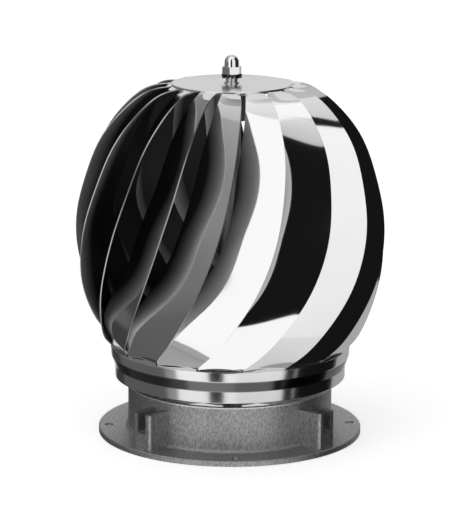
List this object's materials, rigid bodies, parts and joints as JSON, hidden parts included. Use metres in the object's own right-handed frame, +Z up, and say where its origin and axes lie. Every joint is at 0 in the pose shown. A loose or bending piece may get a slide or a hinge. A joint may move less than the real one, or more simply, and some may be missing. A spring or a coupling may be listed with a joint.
{
  "type": "roof turbine ventilator",
  "caption": "Wind-driven roof turbine ventilator: polished rotor of twisted crescent blades on a ring collar, over a flanged cast base with slotted lugs.",
  "frame": {"origin": "centre of the base flange's underside", "axes": "+Z up along the rotor's axis; the four slotted lugs stand on +X, +Y, -X and -Y, and the flange holes lie on the diagonals"},
  "size_m": [0.2329, 0.2329, 0.2882],
  "materials": {
    "polished_steel": "mirror polished stainless sheet",
    "cast_aluminium": "sand cast, machined on the upper edge",
    "turned_aluminium": "turned",
    "plated_steel": "zinc plated",
    "fastener_steel": "bright stainless",
    "bearing_steel": "ground"
  },
  "bodies": {
    "base": {"base_casting": "cast_aluminium", "spider": "plated_steel", "spider_screws": "fastener_steel", "bearing_housing": "turned_aluminium", "housing_screws": "fastener_steel", "lower_outer_race": "bearing_steel", "upper_outer_race": "bearing_steel"},
    "rotor": {"bearing_spacer": "plated_steel", "spindle": "plated_steel", "spindle_nut": "fastener_steel", "rotor_hub": "turned_aluminium", "hub_set_screws": "fastener_steel", "top_disc": "polished_steel", "tooth_washer": "fastener_steel", "dome_nut": "fastener_steel", "rotor_collar": "polished_steel", "lower_inner_race": "bearing_steel", "upper_inner_race": "bearing_steel", "blade_01": "polished_steel", "blade_02": "polished_steel", "blade_03": "polished_steel", "blade_04": "polished_steel", "blade_05": "polished_steel", "blade_06": "polished_steel", "blade_07": "polished_steel", "blade_08": "polished_steel", "blade_09": "polished_steel", "blade_10": "polished_steel", "blade_11": "polished_steel", "blade_12": "polished_steel", "blade_13": "polished_steel", "blade_14": "polished_steel", "blade_15": "polished_steel", "blade_16": "polished_steel", "blade_17": "polished_steel"}
  },
  "joints": [
    {"name": "rotor_spin", "type": "hinge", "parent": "base", "child": "rotor", "pos_m": [0, 0, 0.061], "axis": [0, 0, 1], "continuous": true}
  ]
}
